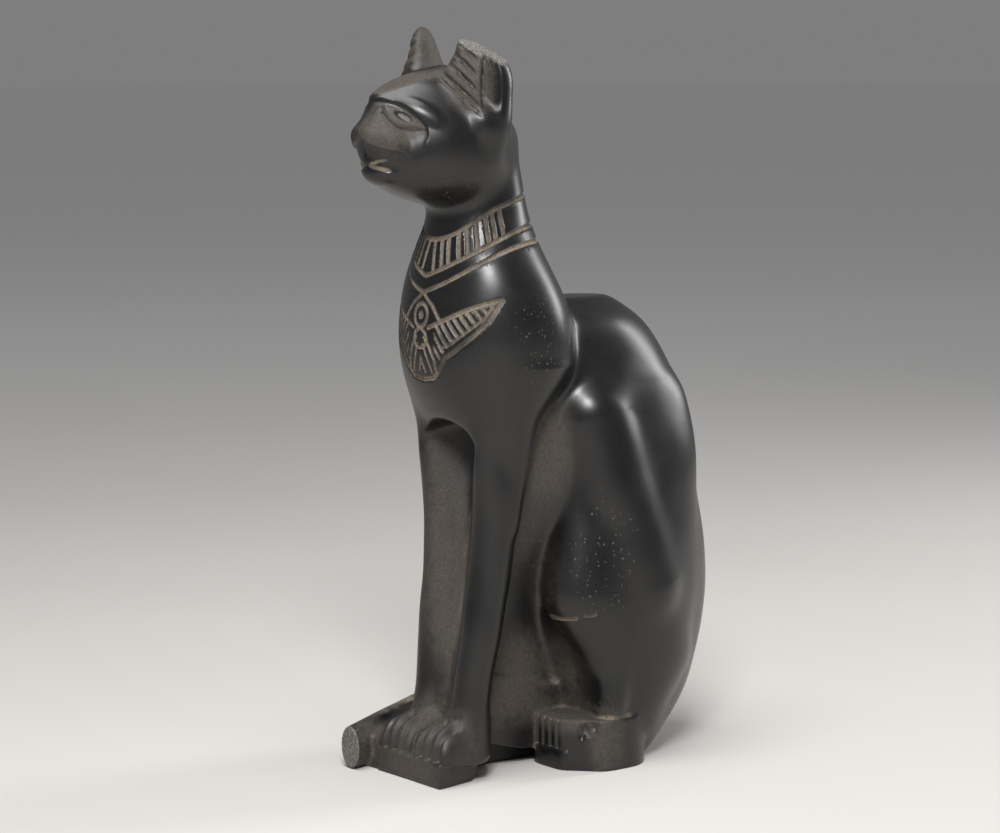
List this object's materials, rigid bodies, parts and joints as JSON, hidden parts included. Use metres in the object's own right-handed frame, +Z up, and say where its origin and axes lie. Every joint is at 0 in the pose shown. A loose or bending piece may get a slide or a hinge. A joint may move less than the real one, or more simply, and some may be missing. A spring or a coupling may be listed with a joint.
{
  "type": "seated cat statue",
  "caption": "Black polished stone statue of a seated Egyptian cat goddess with a carved collar and winged scarab pectoral, which stands on its own flat underside as a display piece.",
  "frame": {"origin": "on the ground, in the middle of the statue's footprint box", "axes": "+Z up, -Y the way the cat looks, +X to the cat's left"},
  "size_m": [0.1332, 0.2441, 0.42],
  "materials": {
    "black_stone": "polished black stone"
  },
  "bodies": {
    "root": {"cat_statue": "black_stone"}
  },
  "joints": []
}
